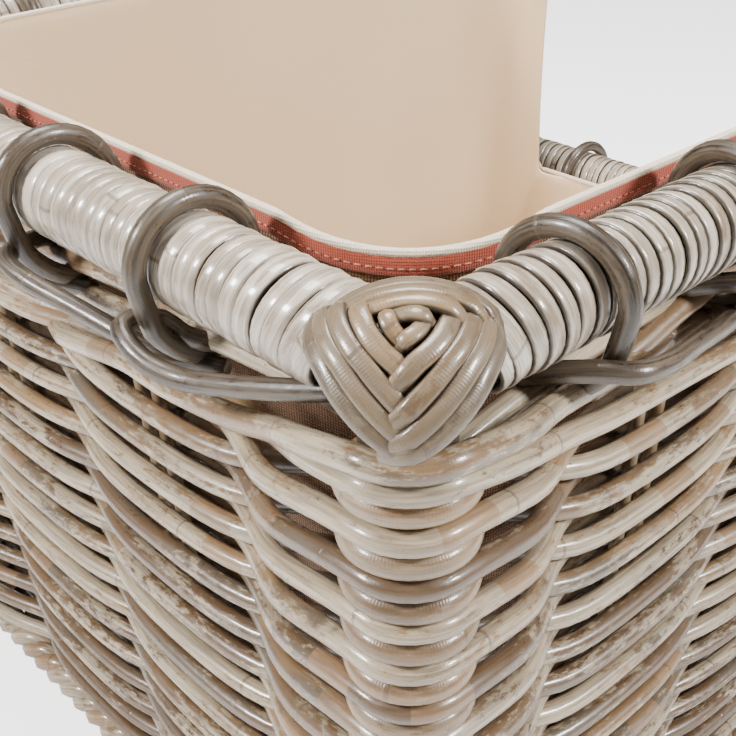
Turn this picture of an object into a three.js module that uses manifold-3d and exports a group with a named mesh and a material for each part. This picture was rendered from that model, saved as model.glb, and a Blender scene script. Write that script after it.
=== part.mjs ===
// Wicker log basket with three high sides, a dropped front and a lift-out cloth liner. Millimetres, +Z up.
// The front is at -Y. Every piece is drawn with upright walls, and one taper then leans them all in towards the foot.
import * as THREE from 'three';
import { mergeVertices } from 'three/addons/utils/BufferGeometryUtils.js';
import Module from 'manifold-3d';

const wasm = await Module();
wasm.setup();

// Overall sizes, measured between the centres of the top rails
const HALF_X = 222;
const HALF_Y = 266;
const RAIL_Z = 372; // height of the high rails' centre
const DROP = 177; // how far the front rail lies below the others
const LEAN = Math.tan(THREE.MathUtils.degToRad(4)); // inward lean of each wall per mm of depth
const GAP = 0.3; // clearance between touching pieces
const WELD = 1e-3;

// Rail poles and their cane binding
const POLE_R = 15;
const BINDING_R = 18;
const BINDING_FROM_CORNER = 24;
const DOWEL_R = 6;
const RAIL_TENON = 6;
const LOW_TENON_R = 9;
const POLE_END = 12; // how far a side rail runs past the corner's centre

// Corner posts, the canes wound round them, and the knots over the corners
const POST_R = 14.5;
const WRAP_R = 23.5;
const WRAP_TOP = 350;
const KNOT = { along: 27, height: 24, z: 376, out: 3 };

// Foot and base
const FOOT = { outer: 14, inner: 32, height: 20, outerCorner: 30, innerCorner: 18 };
const BASE = { inset: 10.6, thickness: 10, corner: 48 };
const FLOOR_Z = FOOT.height + GAP;

// Walls: the weave, the stakes inside it, and the rods between it and the rail
const WEAVE_THICKNESS = 20;
const WEAVE_TOP = 312;
const STAKE = { radius: 2.6, spacing: 12, bottom: 34, top: 326, turn: 4 };
const BORDER = { radius: 4.4, z: 343, out: -2 };
const LASHING = { radius: 3.7, z: 321.5, out: 7.7 };

// Rings round the rail and the border rod
const RING = { radius: 3.75, stretch: 16.6 };
const END_RINGS = [-123, -36.6, 49.8, 136.2]; // back and front, along the wall
const SIDE_RINGS = [200, 113.6, 27.2, -59.2, -145.6];
const END_STAKES = [-77, 53];
const SIDE_STAKES = [144, 14, -116];

// Liner and the tape round its top edge
const LINER = { inset: 29.6, corner: 55, thickness: 4, top: 381, floor: 4 };
const STEP_X = 144; // half width of the lowered part of the liner's front
const LINER_FRONT_TOP = LINER.top - DROP;
const TAPE = { gap: 0.3, thickness: 0.8, width: 7 };
const FAR = 700; // larger than the basket, for cutting blocks

const ROUND = 16;
const ROD_SIDES = 6;

const COLOUR = {
  binding: 0xcdc5ba,
  cane: 0xb89870,
  grey: 0x8d8172,
  brown: 0x7d6349,
  knot: 0x9a8564,
  cloth: 0xdec5a9,
  tape: 0xb45544,
};

// Solids
const toSolid = (geometry) => {
  const bare = geometry.index ? geometry.toNonIndexed() : geometry.clone();
  bare.deleteAttribute('normal');
  bare.deleteAttribute('uv');
  const welded = mergeVertices(bare, WELD);
  return new wasm.Manifold(
    new wasm.Mesh({
      numProp: 3,
      vertProperties: welded.attributes.position.array,
      triVerts: new Uint32Array(welded.index.array),
    }),
  );
};

const toGeometry = (solid) => {
  const { vertProperties, triVerts } = solid.getMesh();
  const geometry = new THREE.BufferGeometry();
  geometry.setAttribute('position', new THREE.BufferAttribute(vertProperties, 3));
  geometry.setIndex(new THREE.BufferAttribute(triVerts, 1));
  return geometry;
};

const cut = (geometry, ...tools) => {
  const whole = tools.reduce((left, tool) => left.subtract(toSolid(tool)), toSolid(geometry));
  return toGeometry(whole);
};

const join = (a, b) => toGeometry(toSolid(a).add(toSolid(b)));

// A closed turned piece along +Y from [radius, distance] pairs that begin and end on the axis
const turned = (profile, sides = ROUND) =>
  new THREE.LatheGeometry(profile.map(([r, y]) => new THREE.Vector2(r, y)), sides);

const rod = (radius, from, to, sides = ROUND) => turned([[0, from], [radius, from], [radius, to], [0, to]], sides);

const sleeve = (inner, outer, from, to) =>
  turned([[inner, from], [outer, from], [outer, to], [inner, to], [inner, from]]);

const block = ([x0, x1], [y0, y1], [z0, z1]) =>
  new THREE.BoxGeometry(x1 - x0, y1 - y0, z1 - z0).translate((x0 + x1) / 2, (y0 + y1) / 2, (z0 + z1) / 2);

// Turns a piece from +Y to another direction
const alongX = (geometry) => geometry.rotateZ(-Math.PI / 2);
const alongZ = (geometry) => geometry.rotateX(Math.PI / 2);

const roundedOutline = (halfX, halfY, corner) => {
  const path = new THREE.Shape();
  path.moveTo(halfX, -halfY + corner);
  path.absarc(halfX - corner, halfY - corner, corner, 0, Math.PI / 2);
  path.absarc(corner - halfX, halfY - corner, corner, Math.PI / 2, Math.PI);
  path.absarc(corner - halfX, corner - halfY, corner, Math.PI, Math.PI * 1.5);
  path.absarc(halfX - corner, corner - halfY, corner, Math.PI * 1.5, Math.PI * 2);
  return path;
};

const slab = (outline, from, to, curveSegments = 8) =>
  new THREE.ExtrudeGeometry(outline, { depth: to - from, bevelEnabled: false, curveSegments }).translate(0, 0, from);

// A rounded rectangular tube; insets are measured in from the rails' centres, and corners are corner radii
const hoop = (outerInset, outerCorner, innerInset, innerCorner, from, to) => {
  const outline = roundedOutline(HALF_X - outerInset, HALF_Y - outerInset, outerCorner);
  outline.holes.push(roundedOutline(HALF_X - innerInset, HALF_Y - innerInset, innerCorner));
  return slab(outline, from, to);
};

// A curve that visits its corner points exactly, so a swept rod has one section at each
class Corners extends THREE.Curve {
  constructor(points) {
    super();
    this.points = points;
  }

  getPointAt(share) {
    return this.points[Math.round(share * (this.points.length - 1))].clone();
  }

  getSpacedPoints() {
    return this.points.map((point) => point.clone());
  }

  getTangentAt(share) {
    const i = Math.round(share * (this.points.length - 1));
    const before = this.points[Math.max(i - 1, 0)];
    const after = this.points[Math.min(i + 1, this.points.length - 1)];
    const here = this.points[i];
    const arriving = i === 0 ? after.clone().sub(here) : here.clone().sub(before);
    const leaving = i === this.points.length - 1 ? arriving.clone() : after.clone().sub(here);
    return arriving.normalize().add(leaving.normalize()).normalize();
  }
}

const swept = (points, radius) => {
  const section = new THREE.Shape();
  section.absarc(0, 0, radius, 0, Math.PI * 2);
  const extrudePath = new Corners(points);
  return new THREE.ExtrudeGeometry(section, {
    steps: points.length - 1,
    curveSegments: ROD_SIDES,
    bevelEnabled: false,
    extrudePath,
  });
};

// Leans every wall inwards below the rail
const taper = (geometry) => {
  const spots = geometry.attributes.position;
  for (let i = 0; i < spots.count; i += 1) {
    const inset = (RAIL_Z - spots.getZ(i)) * LEAN;
    spots.setX(i, spots.getX(i) * (1 - inset / HALF_X));
    spots.setY(i, spots.getY(i) * (1 - inset / HALF_Y));
  }
  geometry.computeVertexNormals();
  return geometry;
};

const basket = new THREE.Group();
basket.name = 'wicker_log_basket';

const addPiece = (name, geometry, color) => {
  const mesh = new THREE.Mesh(taper(geometry), new THREE.MeshStandardMaterial({ color, roughness: 0.7 }));
  mesh.name = name;
  basket.add(mesh);
};

const CORNERS = [
  { name: 'back_left', x: -1, y: 1 },
  { name: 'back_right', x: 1, y: 1 },
  { name: 'front_left', x: -1, y: -1 },
  { name: 'front_right', x: 1, y: -1 },
];

// Each wall is drawn along +X with its outside towards +Y, then moved out and turned by quarter turns
const WALLS = [
  { name: 'back', turn: 0, away: HALF_Y, half: HALF_X, drop: 0, rings: END_RINGS, pairs: END_STAKES },
  { name: 'front', turn: 2, away: HALF_Y, half: HALF_X, drop: DROP, rings: END_RINGS, pairs: END_STAKES },
  { name: 'left', turn: 1, away: HALF_X, half: HALF_Y, drop: 0, rings: SIDE_RINGS, pairs: SIDE_STAKES },
  { name: 'right', turn: 3, away: HALF_X, half: HALF_Y, drop: 0, rings: SIDE_RINGS, pairs: SIDE_STAKES },
];
for (const wall of WALLS) {
  wall.pairs.sort((a, b) => a - b);
  wall.place = (geometry) => geometry.translate(0, wall.away, 0).rotateZ((wall.turn * Math.PI) / 2);
}

// Rails
const sidePoleLength = HALF_Y + POLE_END;
const backPoleEnd = HALF_X - POLE_R - GAP;

const backPole = (grow = 0) =>
  alongX(
    turned([
      [0, -backPoleEnd - RAIL_TENON - grow],
      [DOWEL_R + grow, -backPoleEnd - RAIL_TENON - grow],
      [DOWEL_R + grow, -backPoleEnd - grow],
      [POLE_R + grow, -backPoleEnd - grow],
      [POLE_R + grow, backPoleEnd + grow],
      [DOWEL_R + grow, backPoleEnd + grow],
      [DOWEL_R + grow, backPoleEnd + RAIL_TENON + grow],
      [0, backPoleEnd + RAIL_TENON + grow],
    ]),
  ).translate(0, HALF_Y, RAIL_Z);

const sidePole = (side, grow = 0) =>
  rod(POLE_R + grow, -sidePoleLength - grow, sidePoleLength + grow).translate(side * HALF_X, 0, RAIL_Z);

const post = (corner, grow = 0, rise = 0) => {
  const shoulder = RAIL_Z - POLE_R - GAP + rise;
  const front = corner.y < 0;
  const core = turned([
    [0, FLOOR_Z - grow],
    [POST_R + grow, FLOOR_Z - grow],
    [POST_R + grow, shoulder],
    [DOWEL_R + grow, shoulder],
    [DOWEL_R + grow, RAIL_Z - RAIL_TENON + grow],
    [0, RAIL_Z - RAIL_TENON + grow],
  ]);
  const standing = alongZ(core).translate(corner.x * HALF_X, corner.y * HALF_Y, 0);
  return front ? cut(standing, lowRail(GAP)) : standing;
};

const lowRail = (grow = 0) => {
  const shoulder = HALF_X - WRAP_R - GAP;
  const tip = HALF_X - 4; // the tenon stops short of the post's centre
  return alongX(
    turned([
      [0, -tip - grow],
      [LOW_TENON_R + grow, -tip - grow],
      [LOW_TENON_R + grow, -shoulder - grow],
      [POLE_R + grow, -shoulder - grow],
      [POLE_R + grow, shoulder + grow],
      [LOW_TENON_R + grow, shoulder + grow],
      [LOW_TENON_R + grow, tip + grow],
      [0, tip + grow],
    ]),
  ).translate(0, -HALF_Y, RAIL_Z - DROP);
};

const bindingEnd = (wall) => wall.half - (wall.drop ? WRAP_R + GAP : BINDING_FROM_CORNER);

const railBinding = (wall) => {
  const end = bindingEnd(wall);
  return wall.place(alongX(sleeve(POLE_R + GAP, BINDING_R, -end, end)).translate(0, 0, RAIL_Z - wall.drop));
};

const bindingRoom = (wall) => {
  const end = bindingEnd(wall) + GAP;
  return wall.place(alongX(rod(BINDING_R + GAP, -end, end)).translate(0, 0, RAIL_Z));
};

addPiece('back_rail_pole', backPole(), COLOUR.brown);
addPiece('front_rail_pole', lowRail(), COLOUR.brown);
for (const [name, side] of [['left', -1], ['right', 1]]) {
  const holes = CORNERS.filter((corner) => corner.x === side).map((corner) => post(corner, GAP));
  addPiece(`${name}_rail_pole`, cut(sidePole(side), backPole(GAP), ...holes), COLOUR.brown);
}
for (const wall of WALLS) addPiece(`${wall.name}_rail_binding`, railBinding(wall), COLOUR.binding);

// Corners
const postWrap = (corner) => {
  const sleeved = alongZ(sleeve(POST_R + GAP, WRAP_R, FLOOR_Z, WRAP_TOP));
  const standing = sleeved.translate(corner.x * HALF_X, corner.y * HALF_Y, 0);
  return corner.y < 0 ? cut(standing, lowRail(GAP)) : standing;
};

const knot = (corner) => {
  const dome = new THREE.SphereGeometry(1, 14, 10)
    .rotateX(Math.PI / 2)
    .scale(KNOT.along, KNOT.along, KNOT.height)
    .translate(corner.x * (HALF_X + KNOT.out), corner.y * (HALF_Y + KNOT.out), KNOT.z);
  const bindings = WALLS.filter((wall) => !wall.drop).map(bindingRoom);
  const rise = POLE_R / 2; // the room for the post runs on into the room for the pole
  const wrapRoom = alongZ(rod(WRAP_R + GAP, 0, WRAP_TOP + GAP)).translate(corner.x * HALF_X, corner.y * HALF_Y, 0);
  return cut(dome, sidePole(corner.x, GAP), backPole(GAP), post(corner, GAP, rise), wrapRoom, ...bindings);
};

for (const corner of CORNERS) {
  addPiece(`${corner.name}_post`, post(corner), COLOUR.brown);
  addPiece(`${corner.name}_post_wrap`, postWrap(corner), COLOUR.cane);
  addPiece(`${corner.name}_knot`, knot(corner), COLOUR.knot);
}

// Walls
const stakes = (wall, grow = 0) => {
  const { radius, spacing, bottom, turn } = STAKE;
  const top = STAKE.top - wall.drop;
  const half = spacing / 2;
  const points = [];
  wall.pairs.forEach((centre, i) => {
    const last = i === wall.pairs.length - 1;
    points.push([centre - half, i ? bottom + turn : bottom], [centre - half, top - turn]);
    points.push([centre - half + turn, top], [centre + half - turn, top], [centre + half, top - turn]);
    points.push([centre + half, last ? bottom : bottom + turn]);
    if (!last) points.push([centre + half + turn, bottom], [wall.pairs[i + 1] - half - turn, bottom]);
  });
  return wall.place(swept(points.map(([x, z]) => new THREE.Vector3(x, 0, z)), radius + grow));
};

const weave = (wall) => {
  const end = wall.half - WRAP_R - GAP;
  const panel = block([-end, end], [-WEAVE_THICKNESS / 2, WEAVE_THICKNESS / 2], [FLOOR_Z, WEAVE_TOP - wall.drop]);
  return cut(wall.place(panel), stakes(wall, GAP));
};

const wallRod = (wall, { radius, z, out }) => {
  const end = wall.half - WRAP_R - GAP;
  return wall.place(alongX(rod(radius, -end, end, ROD_SIDES * 2)).translate(0, out, z - wall.drop));
};

const ring = (wall, centre) => {
  const loop = new THREE.TorusGeometry(BINDING_R + GAP + RING.radius, RING.radius, ROD_SIDES, ROUND);
  const spots = loop.attributes.position;
  for (let i = 0; i < spots.count; i += 1) {
    if (spots.getY(i) < -WELD) spots.setY(i, spots.getY(i) - RING.stretch);
  }
  loop.rotateX(Math.PI / 2).rotateZ(Math.PI / 2);
  return wall.place(loop.translate(centre, 0, RAIL_Z - wall.drop));
};

for (const wall of WALLS) {
  addPiece(`${wall.name}_weave`, weave(wall), COLOUR.cane);
  addPiece(`${wall.name}_stakes`, stakes(wall), COLOUR.brown);
  addPiece(`${wall.name}_border_rod`, wallRod(wall, BORDER), COLOUR.cane);
  addPiece(`${wall.name}_lashing`, wallRod(wall, LASHING), COLOUR.grey);
  wall.rings.forEach((centre, i) => addPiece(`${wall.name}_ring_${i + 1}`, ring(wall, centre), COLOUR.grey));
}

// Foot and base
const footRim = () =>
  hoop(-FOOT.outer, FOOT.outerCorner, FOOT.inner, FOOT.innerCorner, 0, FOOT.height);

const basePanel = () => {
  const outline = roundedOutline(HALF_X - BASE.inset, HALF_Y - BASE.inset, BASE.corner);
  return slab(outline, FLOOR_Z, FLOOR_Z + BASE.thickness);
};

addPiece('foot_rim', footRim(), COLOUR.cane);
addPiece('base_panel', basePanel(), COLOUR.cane);

// Liner
const LINER_Z = FLOOR_Z + BASE.thickness + GAP;

const linerBag = () => {
  const { inset, corner, thickness, top, floor } = LINER;
  const sides = hoop(inset, corner, inset + thickness, corner - thickness, LINER_Z, top);
  const bottom = slab(roundedOutline(HALF_X - inset, HALF_Y - inset, corner), LINER_Z, LINER_Z + floor);
  const notch = block([-STEP_X, STEP_X], [-FAR, inset + corner - HALF_Y], [LINER_FRONT_TOP, FAR]);
  return cut(join(sides, bottom), notch);
};

const linerTape = () => {
  const { gap, thickness, width } = TAPE;
  const inner = LINER.inset - gap;
  const outer = inner - thickness;
  const corner = LINER.corner + gap;
  const below = LINER_FRONT_TOP - width;
  const frontY = inner + corner - HALF_Y;
  const band = hoop(outer, corner + thickness, inner, corner, below, LINER.top);
  return cut(
    band,
    block([-STEP_X, STEP_X], [-FAR, frontY], [LINER_FRONT_TOP, FAR]),
    block([-FAR, FAR], [frontY, FAR], [0, LINER.top - width]),
    block([-FAR, -STEP_X - width], [-FAR, FAR], [0, LINER.top - width]),
    block([STEP_X + width, FAR], [-FAR, FAR], [0, LINER.top - width]),
  );
};

addPiece('liner', linerBag(), COLOUR.cloth);
addPiece('liner_binding', linerTape(), COLOUR.tape);

export default basket;
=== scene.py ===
import math

import bmesh
import bpy
import numpy as np
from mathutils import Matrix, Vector


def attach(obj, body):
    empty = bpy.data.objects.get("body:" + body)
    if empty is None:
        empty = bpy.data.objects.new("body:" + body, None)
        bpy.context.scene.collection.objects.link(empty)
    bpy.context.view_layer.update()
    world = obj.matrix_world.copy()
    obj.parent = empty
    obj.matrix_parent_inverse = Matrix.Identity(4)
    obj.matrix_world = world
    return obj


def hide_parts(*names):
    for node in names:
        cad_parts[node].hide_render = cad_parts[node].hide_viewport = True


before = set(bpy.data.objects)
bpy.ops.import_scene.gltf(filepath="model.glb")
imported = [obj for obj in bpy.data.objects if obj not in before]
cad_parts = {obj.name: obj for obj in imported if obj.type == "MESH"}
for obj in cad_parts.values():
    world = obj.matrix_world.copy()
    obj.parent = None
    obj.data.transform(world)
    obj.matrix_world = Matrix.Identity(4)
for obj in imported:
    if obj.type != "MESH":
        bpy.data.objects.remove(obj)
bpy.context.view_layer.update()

rng = np.random.default_rng(11)

# sizes in millimetres; the halves run from the middle to the centre of a top rail
basket = dict(halfX=222.0, halfY=266.0, railZ=372.0, drop=177.0, lean=math.tan(math.radians(4)))

# where the rings and the pairs of uprights stand along a wall
shortWall = dict(half=basket["halfX"], away=basket["halfY"],
                 rings=[-136.2, -49.8, 36.6, 123.0], pairs=[-53.0, 77.0])
longWall = dict(half=basket["halfY"], away=basket["halfX"],
                rings=[-200.0, -113.6, -27.2, 59.2, 145.6], pairs=[-144.0, -14.0, 116.0])

# walls in order round the basket, anticlockwise from above; s runs the same way along each
walls = [
    dict(shortWall, name="back", along=(-1, 0), out=(0, 1), drop=0.0),
    dict(longWall, name="left", along=(0, -1), out=(-1, 0), drop=0.0),
    dict(shortWall, name="front", along=(1, 0), out=(0, -1), drop=basket["drop"]),
    dict(longWall, name="right", along=(0, 1), out=(1, 0), drop=0.0),
]
corners = [(-1, 1), (-1, -1), (1, -1), (1, 1)]  # corner i ends wall i
cornerNames = ["back_left", "front_left", "front_right", "back_right"]


def railHeight(wall):
    return basket["railZ"] - wall["drop"]


def place(wall, s, u, z):
    # s along the wall, u outwards from its middle, z up
    s, u, z = np.broadcast_arrays(np.asarray(s, float), np.asarray(u, float), np.asarray(z, float))
    x = wall["along"][0] * s + wall["out"][0] * (wall["away"] + u)
    y = wall["along"][1] * s + wall["out"][1] * (wall["away"] + u)
    return np.stack([x, y, z], 1)


def leaned(points):
    # the walls lean outwards, so everything below the top rail moves in
    p = np.array(points, float)
    inset = (basket["railZ"] - p[:, 2]) * basket["lean"]
    p[:, 0] *= 1 - inset / basket["halfX"]
    p[:, 1] *= 1 - inset / basket["halfY"]
    return p


def smooth(points, step=4.0):
    # an even, rounded line through a few points
    p = np.array(points, float)
    ends = np.vstack([2 * p[0] - p[1], p, 2 * p[-1] - p[-2]])
    line = []
    for i in range(1, len(ends) - 2):
        a, b, c, d = ends[i - 1:i + 3]
        count = max(2, int(np.linalg.norm(c - b) / step))
        t = np.linspace(0, 1, count, endpoint=False)[:, None]
        line.append(0.5 * (2 * b + (c - a) * t + (2 * a - 5 * b + 4 * c - d) * t ** 2
                           + (3 * b - a - 3 * c + d) * t ** 3))
    line.append(ends[-2:-1])
    return np.vstack(line)


def addPiece(name, mesh, material, body="basket", replaces=()):
    piece = bpy.data.objects.new(name, mesh)
    bpy.context.scene.collection.objects.link(piece)
    mesh.materials.append(material)
    mesh.polygons.foreach_set("use_smooth", [True] * len(mesh.polygons))
    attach(piece, body)
    if replaces:
        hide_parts(*replaces)
    return piece


def caneMesh(name, rods, sides=10):
    # each rod has a path in mm, its radius r and a seed, and may be closed; flat strips add the normals
    # of the surface they lie on and how flat they are; inner is how deep in the wall a rod lies, which the skin
    # darkens as painted shade
    curve = bpy.data.curves.new(name, "CURVE")
    curve.dimensions = "3D"
    curve.bevel_depth = 0.001
    curve.bevel_resolution = (sides - 4) // 2
    for rod in rods:
        count = len(rod["path"])
        line = curve.splines.new("POLY")
        line.points.add(count - 1)
        linePoints = np.ones((count, 4))
        linePoints[:, :3] = rod["path"] / 1000
        line.points.foreach_set("co", linePoints.ravel())
        line.points.foreach_set("radius", np.broadcast_to(rod["r"], count).astype(float))
        line.use_cyclic_u = rod.get("closed", False)
    holder = bpy.data.objects.new(name, curve)
    mesh = bpy.data.meshes.new_from_object(holder)
    bpy.data.objects.remove(holder)
    bpy.data.curves.remove(curve)
    mesh.name = name
    spots = np.empty(len(mesh.vertices) * 3)
    mesh.vertices.foreach_get("co", spots)
    spots = spots.reshape(-1, 3)
    skin, seeds, inner, at = [], [], [], 0
    edge = np.zeros(len(spots))
    turn = np.arange(sides) * 2 * math.pi / sides
    for rod in rods:
        path, count = rod["path"], len(rod["path"])
        run = np.concatenate([[0], np.cumsum(np.linalg.norm(np.diff(path, axis=0), axis=1))])
        r = np.broadcast_to(rod["r"], count)
        skin.append(np.stack([np.repeat(run, sides), np.outer(r, np.cos(turn)).ravel(),
                              np.outer(r, np.sin(turn)).ravel()], 1))
        seeds.append(np.full(count * sides, rod["seed"]))
        inner.append(np.repeat(np.broadcast_to(rod.get("inner", 0.0), count), sides))
        if "normals" in rod:
            mine = slice(at, at + count * sides)
            square = rod.get("square", 0.6)  # below 1 the section is squarer, with rounded edges
            centre = np.repeat(path / 1000, sides, axis=0)
            normal = np.repeat(rod["normals"], sides, axis=0)
            size = np.repeat(r, sides)[:, None] / 1000
            off = spots[mine] - centre
            lift = (off * normal).sum(1, keepdims=True)
            across = off - normal * lift
            reach = np.linalg.norm(across, axis=1, keepdims=True) + 1e-9
            edge[mine] = (reach / size)[:, 0]
            across *= (reach / size) ** (square - 1)
            lift = np.sign(lift) * (np.abs(lift) / size) ** square * size * rod["flat"]
            spots[mine] = centre + across + normal * lift
        at += count * sides
    mesh.vertices.foreach_set("co", spots.ravel())
    mesh.attributes.new("skin", "FLOAT_VECTOR", "POINT").data.foreach_set("vector", np.vstack(skin).ravel())
    for label, values in (("seed", np.concatenate(seeds)), ("edge", edge), ("inner", np.concatenate(inner))):
        mesh.attributes.new(label, "FLOAT", "POINT").data.foreach_set("value", values.astype(float))
    bm = bmesh.new()
    bm.from_mesh(mesh)
    bmesh.ops.holes_fill(bm, edges=[e for e in bm.edges if e.is_boundary], sides=0)
    bmesh.ops.recalc_face_normals(bm, faces=bm.faces)
    bm.to_mesh(mesh)
    bm.free()
    return mesh


def addCanes(name, rods, sides, material, body="basket", replaces=()):
    return addPiece(name, caneMesh(name, rods, sides), material, body, replaces)


# small helpers for shader nodes
def makeGroup(name, inputs, outputs):
    group = bpy.data.node_groups.new(name, "ShaderNodeTree")
    for label, kind, value in inputs:
        socket = group.interface.new_socket(name=label, in_out="INPUT", socket_type=kind)
        socket.default_value = value
    for label, kind in outputs:
        group.interface.new_socket(name=label, in_out="OUTPUT", socket_type=kind)
    return group, group.nodes.new("NodeGroupInput"), group.nodes.new("NodeGroupOutput")


def mathNode(tree, operation, a, b=None, c=None):
    node = tree.nodes.new("ShaderNodeMath")
    node.operation = operation
    for i, value in enumerate((a, b, c)):
        if value is None:
            continue
        if isinstance(value, (int, float)):
            node.inputs[i].default_value = value
        else:
            tree.links.new(value, node.inputs[i])
    return node.outputs[0]


def vectorNode(tree, operation, a, b):
    node = tree.nodes.new("ShaderNodeVectorMath")
    node.operation = operation
    for i, value in enumerate((a, b)):
        if isinstance(value, tuple):
            node.inputs[i].default_value = value
        else:
            tree.links.new(value, node.inputs[i])
    return node.outputs[0]


def attributeNode(tree, name):
    node = tree.nodes.new("ShaderNodeAttribute")
    node.attribute_name = name
    return node.outputs


def noiseNode(tree, vector, scale=1.0, detail=3.0, roughness=0.5):
    node = tree.nodes.new("ShaderNodeTexNoise")
    node.inputs["Scale"].default_value = scale
    node.inputs["Detail"].default_value = detail
    node.inputs["Roughness"].default_value = roughness
    tree.links.new(vector, node.inputs["Vector"])
    return node.outputs["Fac"]


def rangeNode(tree, value, low, high, toLow=0.0, toHigh=1.0):
    node = tree.nodes.new("ShaderNodeMapRange")
    node.interpolation_type = "SMOOTHSTEP"
    tree.links.new(value, node.inputs["Value"])
    for label, number in (("From Min", low), ("From Max", high), ("To Min", toLow), ("To Max", toHigh)):
        node.inputs[label].default_value = number
    return node.outputs["Result"]


def mixColours(tree, share, a, b):
    node = tree.nodes.new("ShaderNodeMix")
    node.data_type = "RGBA"
    for socket, value in ((node.inputs[0], share), (node.inputs[6], a), (node.inputs[7], b)):
        if isinstance(value, (int, float)):
            socket.default_value = value
        elif isinstance(value, tuple):
            socket.default_value = (*value, 1)
        else:
            tree.links.new(value, socket)
    return node.outputs[2]


# the skin that all canes share: lengths in mm, colours from the inside of the cane outwards
skinLook = dict(
    toneTurns=37.7,  # the fraction of a seed times this picks a cane's tone
    segment=21.0, peelShare=0.55, peelColour=(0.42, 0.24, 0.115),
    streakColour=(0.16, 0.115, 0.075), fibreColour=(0.1, 0.07, 0.045),
    # painted shade: the share and colour for canes deep inside the wall, and the colour at the edges of flat
    # strips
    insideShadeShare=0.86, insideShadeColour=(0.035, 0.021, 0.011), edgeShadeColour=(0.03, 0.02, 0.012),
    speckColour=(0.035, 0.025, 0.018), joint=118.0, jointColour=(0.12, 0.08, 0.05),
)


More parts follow.
